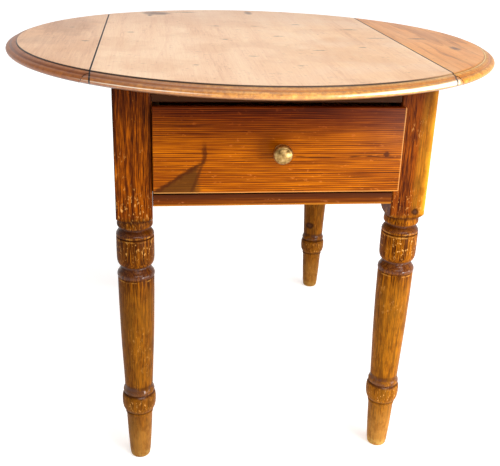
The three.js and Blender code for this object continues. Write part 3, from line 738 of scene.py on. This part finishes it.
def leg_profile():
    """(radius, height) from the floor up to the block, in metres."""
    foot = [(0.0, 0.0), (0.0150, 0.0)] + arc(0.0150, 0.004, 0.0035, 0.004, -90, 0, 5)[1:]
    foot += [(0.0197, 0.012), (0.0209, 0.030), (0.0223, 0.052), (0.0235, 0.080), (0.0242, 0.0965)]
    foot += [(0.0250, 0.0985)] + bead(0.0995, 0.1040, 0.0250, 0.0008, 4) + [(0.0250, 0.1050)]
    ring = [(0.0264, 0.1070), (0.0284, 0.1100), (0.0298, 0.1135), (0.0307, 0.118), (0.0312, 0.123),
            (0.0313, 0.128), (0.0312, 0.134), (0.0307, 0.1385), (0.0296, 0.1415), (0.0274, 0.1432),
            (0.0270, RING_TOP), (0.0274, 0.1452), (0.0286, 0.1470), (0.0290, 0.1495), (0.0285, 0.152),
            (0.0272, 0.1545), (0.0262, 0.1570), (0.0259, RING_WAIST)]
    shaft = [(0.0266, 0.180), (0.0279, 0.212), (0.0293, 0.246), (0.0305, 0.285), (0.0315, 0.329),
             (0.0320, 0.3605), (0.0322, 0.3835), (0.0316, SHAFT_GROOVE - 0.0004),
             (0.0316, SHAFT_GROOVE + 0.0004), (0.0326, 0.3870), (0.0331, 0.3889), (0.0331, 0.3913),
             (0.0325, 0.3937), (0.0310, 0.3961), (0.0292, 0.3985), (0.0276, 0.4010), (0.0264, 0.4029),
             (0.0255, 0.4039), (0.0250, LOW_NECK)]
    barrel = [(0.0255, 0.4071), (0.0275, 0.4080), (0.0299, 0.4100), (0.0315, 0.4132), (0.0325, 0.4172),
              (0.0329, 0.4218), (0.0331, 0.4300), (0.0331, 0.4468), (0.0330, 0.4600), (0.0325, 0.4614),
              (0.0316, 0.4620), (0.0316, 0.4627), (0.0326, 0.4634), (0.0331, 0.4652), (0.0328, 0.4676),
              (0.0316, 0.4699), (0.0298, 0.4722), (0.0280, 0.4740), (0.0262, 0.4750), (0.0254, HIGH_NECK)]
    collar = [(0.0258, 0.4781), (0.0276, 0.4793), (0.0296, 0.4805), (0.0306, 0.4820), (0.0311, 0.4836),
              (0.0311, 0.4865), (0.0306, 0.4893), (0.0304, 0.4920), (0.0305, BLOCK_BOTTOM - 0.0005)]
    return foot + ring + shaft + barrel + collar


def square_reach(angle):
    """How far the block's side is from its axis at this angle, with its corners rounded."""
    t = abs((angle + math.pi / 4) % (math.pi / 2) - math.pi / 4)
    flat = LEG_HALF / math.cos(t)
    inner = LEG_HALF - ARRIS
    corner = inner * math.sqrt(2)
    lean = math.pi / 4 - t
    if flat * math.sin(t) <= inner:
        return flat
    return corner * math.cos(lean) + math.sqrt(max(0.0, ARRIS ** 2 - (corner * math.sin(lean)) ** 2))


def leg_angles():
    """Angles round the leg, close together at the block's corners."""
    quarter = [0.0, 6, 12, 18, 24, 29, 33, 36, 38.5, 40.5, 42, 43.5,
               45, 46.5, 48, 49.5, 51.5, 54, 57, 61, 66, 72, 78, 84]
    return [math.radians(a + 90 * q) for q in range(4) for a in quarter]


def leg_mesh(name, centre_x, centre_y, top, seed):
    """One leg, slightly uneven: rings of points up its turnings, its shoulders and its block."""
    angles = leg_angles()
    rows = [(z, lambda a, r=r: r) for r, z in leg_profile()]
    shoulder_tall, neck, wobble_amount, block_rows = 0.0165, 0.0306, 0.006, 40
    corner = LEG_HALF * math.sqrt(2)
    for i in range(11):
        t = math.radians(9 * i)
        z = BLOCK_BOTTOM + shoulder_tall * (1 - math.cos(t))
        reach = neck + (corner + 0.001 - neck) * math.sin(t)
        rows.append((z, lambda a, reach=reach: min(square_reach(a), reach)))
    start = BLOCK_BOTTOM + shoulder_tall
    for i in range(1, block_rows + 1):
        rows.append((start + (top - start) * i / block_rows, square_reach))
    verts, faces = [], []
    for z, reach in rows:
        for a in angles:
            r = reach(a)
            point = Vector((r * math.cos(a), r * math.sin(a), z))
            if r > 0.001:
                wobble = noise.noise(Vector((point.x * 40 + seed, point.y * 40, z * 14)))
                point.x *= 1 + wobble_amount * wobble
                point.y *= 1 + wobble_amount * wobble
            verts.append((centre_x + point.x, centre_y + point.y, z))
    count = len(angles)
    for row in range(len(rows) - 1):
        for k in range(count):
            n = (k + 1) % count
            faces.append([row * count + k, row * count + n, (row + 1) * count + n, (row + 1) * count + k])
    faces.append([(len(rows) - 1) * count + k for k in range(count)])
    return add_mesh(name, verts, faces, 40.0)


for end, e in ENDS:
    for side, s in SIDES:
        node = f"{end}_{side}_leg"
        low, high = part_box(node)
        leg = leg_mesh(f"{node}_wood", float(low[0] + high[0]) / 2, float(low[1] + high[1]) / 2,
                       float(high[2]), 3.1 * s + 7.7 * e)
        dress(leg, LEG_PINE)
        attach(leg, "frame")
        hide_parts(node)


# ---------------------------------------------------------------- boards that keep their CAD shape
def soften(node, width):
    """Rounds the edges of a CAD board."""
    piece = NODES[node]
    weld = piece.modifiers.new("weld", "WELD")
    weld.merge_threshold = 1e-5
    bevel = piece.modifiers.new("round", "BEVEL")
    bevel.width = width
    bevel.segments = 2
    bevel.limit_method = "ANGLE"
    bevel.angle_limit = math.radians(40)
    return piece


def finish_node(node, material, width):
    dress(soften(node, width), material)


for node in ("lower_drawer_rail", "upper_drawer_rail"):
    finish_node(node, RAIL_PINE, 0.0012)
finish_node("back_apron", BACK_PINE, 0.001)
for side, _ in SIDES:
    finish_node(f"{side}_side_apron", SIDE_PINE, 0.001)
    finish_node(f"{side}_fly_rail", BRACKET_PINE, 0.0008)
    finish_node(f"{side}_bracket", BRACKET_PINE, 0.0008)
    finish_node(f"{side}_bracket_pin", IRON, 0.0004)
    for part in ("drawer_runner", "drawer_guide", "drawer_kicker", "drawer_stop"):
        finish_node(f"{side}_{part}", INNER_PINE, 0.0006)
    finish_node(f"drawer_{side}_side", INNER_PINE, 0.0008)
    for end, _ in ENDS:
        finish_node(f"{end}_{side}_top_block", INNER_PINE, 0.001)
        finish_node(f"{end}_{side}_hinge_plate", IRON, 0.0003)
        finish_node(f"{end}_{side}_leaf_plate", IRON, 0.0003)
        finish_node(f"{end}_{side}_hinge_pin", IRON, 0.0002)
for node in ("drawer_back", "drawer_bottom"):
    finish_node(node, INNER_PINE_X, 0.0008)
finish_node("knob_bolt", IRON, 0.0003)

# ---------------------------------------------------------------- drawer front and knob
lip_back = float(front_low[1]) + LIP
lip = block("lip", (float(front_low[0]), float(front_low[1]), float(front_low[2] + LIP_RAISE)),
            (float(front_high[0]), lip_back, float(front_high[2])), 0.0018, 4)
inset = block("inset", (-INSET_HALF, lip_back - 0.001, float(front_low[2])),
              (INSET_HALF, float(front_high[1]), float(front_high[2]) - 0.002), 0.001, 2)
drawer_front = join("drawer_front_wood", [lip, inset])
dress(drawer_front, FRONT_PINE)
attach(drawer_front, "drawer")
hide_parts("drawer_front")

knob_low, knob_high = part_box("knob")
knob_centre = (knob_low + knob_high) / 2
# Radius and distance from the drawer front, in millimetres
KNOB_PROFILE = [
    (0, 0), (9.6, 0), (10.2, 0.4), (10.2, 1.3), (9.4, 2.0), (7.6, 2.8), (6.6, 4.2), (6.0, 6.5), (5.9, 9.5),
    (6.3, 12.2), (7.4, 14.0), (9.6, 15.4), (12.4, 17.2), (14.8, 19.6), (16.2, 22.4), (16.5, 25.0),
    (16.1, 27.6), (15.2, 29.6), (14.2, 31.0), (13.4, 31.7), (12.9, 31.8), (12.3, 32.3), (10.6, 33.5),
    (8.0, 34.6), (5.0, 35.2), (2.4, 35.4), (0, 35.45)]
seat = Matrix.Translation((float(knob_centre[0]), float(knob_high[1]) + 0.0003, float(knob_centre[2])))
knob = lathe("knob_brass", [(r * MM, z * MM) for r, z in KNOB_PROFILE], 64,
             seat @ Matrix.Rotation(math.pi / 2, 4, "X"))
dress(knob, BRASS)
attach(knob, "drawer")
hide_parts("knob")

# ---------------------------------------------------------------- screws
SCREW_RADIUS = 0.0034
# Where the screws of each plate are: distance from the table's middle, and from the plate's middle along Y
PLATE_SCREWS = {
    "hinge_plate": [(HINGE_X - 0.021, -0.011), (HINGE_X - 0.021, 0.011)],
    "leaf_plate": [(HINGE_X + 0.024, -0.011), (HINGE_X + 0.038, 0.009), (HINGE_X + 0.052, -0.011)]}


def screw_head(x, y, z, turn):
    """A slotted countersunk head that faces down."""
    radius = SCREW_RADIUS
    place = Matrix.Translation((x, y, z)) @ Matrix.Diagonal((1, 1, -1, 1)) @ Matrix.Rotation(turn, 4, "Z")
    head = lathe("screw", [(0, -0.0012), (radius * 0.55, -0.0012), (radius, 0), (radius * 0.96, 0.0002),
                           (radius * 0.6, 0.0005), (0, 0.0006)], 28, place)
    slot_tool = block("slot_tool", (-radius * 1.2, -0.0004, 0.0001), (radius * 1.2, 0.0004, 0.002),
                      0.00005, 1)
    slot_tool.matrix_world = place
    cut(head, slot_tool, "DIFFERENCE")
    return head


for side, s in SIDES:
    for end, e in ENDS:
        for part, body in (("hinge_plate", "frame"), ("leaf_plate", f"{side}_leaf")):
            low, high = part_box(f"{end}_{side}_{part}")
            middle = float(low[1] + high[1]) / 2
            heads = [screw_head(s * x, middle + dy, float(low[2]), 0.7 * k + s + 2 * e)
                     for k, (x, dy) in enumerate(PLATE_SCREWS[part])]
            screws = join(f"{end}_{side}_{part}_screws", heads)
            dress(screws, IRON)
            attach(screws, body)

# ---------------------------------------------------------------- camera, light and floor
CAMERA_PLACE = (-0.2065, -1.6403, 0.9941)
YAW, PITCH, ROLL = 0.1294, 0.3925, 0.0332    # radians
forward = Vector((math.sin(YAW) * math.cos(PITCH), math.cos(YAW) * math.cos(PITCH), -math.sin(PITCH)))
level = Vector((math.cos(YAW), -math.sin(YAW), 0))
upright = level.cross(forward)
right_way = math.cos(ROLL) * level + math.sin(ROLL) * upright
up_way = -math.sin(ROLL) * level + math.cos(ROLL) * upright
lens = bpy.data.cameras.new("camera")
lens.sensor_width = 36
lens.lens = 56.86
lens.shift_x = 0.0046
lens.shift_y = 0.0017
camera = bpy.data.objects.new("camera", lens)
bpy.context.scene.collection.objects.link(camera)
turned = Matrix((right_way, up_way, -forward)).transposed().to_4x4()
camera.matrix_world = Matrix.Translation(CAMERA_PLACE) @ turned
bpy.context.scene.camera = camera

# Name, place, what it points at, width and height, watts
AREA_LIGHTS = (
    ("softbox", (1.5, -2.3, 0.38), (0, -0.3, 0.6), (0.36, 0.6), 26),
    ("window", (2.3, -1.5, 0.36), (0, -0.2, 0.6), (2.0, 0.4), 26),
    ("key", (0.5, -2.4, 1.9), (0, -0.3, 0.5), (2.2, 0.4), 18),
    ("overhead", (0, 0, 2.4), (0, 0, 0), (1.6, 1.6), 10))
for light_name, place, target, size, power in AREA_LIGHTS:
    light = bpy.data.lights.new(light_name, "AREA")
    light.shape = "RECTANGLE"
    light.size, light.size_y = size
    light.energy = power
    lamp = bpy.data.objects.new(light_name, light)
    bpy.context.scene.collection.objects.link(lamp)
    lamp.location = place
    lamp.rotation_euler = (Vector(target) - Vector(place)).to_track_quat("-Z", "Y").to_euler()
sun = bpy.data.lights.new("sun", "SUN")
sun.energy = 1.7
sun.angle = math.radians(55)
sun_lamp = bpy.data.objects.new("sun", sun)
bpy.context.scene.collection.objects.link(sun_lamp)
sun_lamp.visible_glossy = False
sun_lamp.rotation_euler = Vector((0.62, -0.5, 0.6)).to_track_quat("Z", "Y").to_euler()
bpy.context.scene.view_settings.view_transform = "Standard"

# The studio is white up to the horizon, darker overhead, and above the horizon also at the front and the left
world = bpy.data.worlds.new("studio")
bpy.context.scene.world = world
world.use_nodes = True
sky = world.node_tree


def sky_range(value, low, high, start, end):
    """Start to end as the value goes from low to high."""
    made = sky.nodes.new("ShaderNodeMapRange")
    for key, number in (("From Min", low), ("From Max", high), ("To Min", start), ("To Max", end)):
        made.inputs[key].default_value = number
    sky.links.new(value, made.inputs["Value"])
    return made.outputs[0]


def sky_math(operation, first, second):
    made = sky.nodes.new("ShaderNodeMath")
    made.operation = operation
    for socket, value in zip(made.inputs, (first, second)):
        if isinstance(value, float):
            socket.default_value = value
        else:
            sky.links.new(value, socket)
    return made.outputs[0]


direction = sky.nodes.new("ShaderNodeSeparateXYZ")
sky.links.new(sky.nodes.new("ShaderNodeTexCoord").outputs["Generated"], direction.inputs[0])
overhead_fade = sky_range(direction.outputs["Z"], 0.1, 0.6, 1.0, 0.45)
front_dim = sky_range(direction.outputs["Y"], -0.4, 0.5, 0.38, 0.0)
left_dim = sky_range(direction.outputs["X"], -0.9, 0.0, 0.45, 0.0)
above_horizon = sky_range(direction.outputs["Z"], 0.1, 0.3, 0.0, 1.0)
dim = sky_math("MULTIPLY", sky_math("MAXIMUM", front_dim, left_dim), above_horizon)
strength = sky_math("MULTIPLY", overhead_fade, sky_math("SUBTRACT", 1.0, dim))
sky.links.new(strength, sky.nodes["Background"].inputs["Strength"])
sky.nodes["Background"].inputs["Color"].default_value = (1, 1, 1, 1)

HALF_FLOOR = 12
FLOOR_Z = -0.0003    # just under the feet
floor_mesh = bpy.data.meshes.new("floor")
floor_mesh.from_pydata([(x * HALF_FLOOR, y * HALF_FLOOR, FLOOR_Z)
                        for x, y in ((-1, -1), (1, -1), (1, 1), (-1, 1))], [], [(0, 1, 2, 3)])
floor = bpy.data.objects.new("floor", floor_mesh)
bpy.context.scene.collection.objects.link(floor)
paper = Graph("paper")
paper.finish((0.9, 0.9, 0.9, 1), 0.9, Emission_Color=(1, 1, 1, 1), Emission_Strength=0.5)
floor.data.materials.append(paper.material)
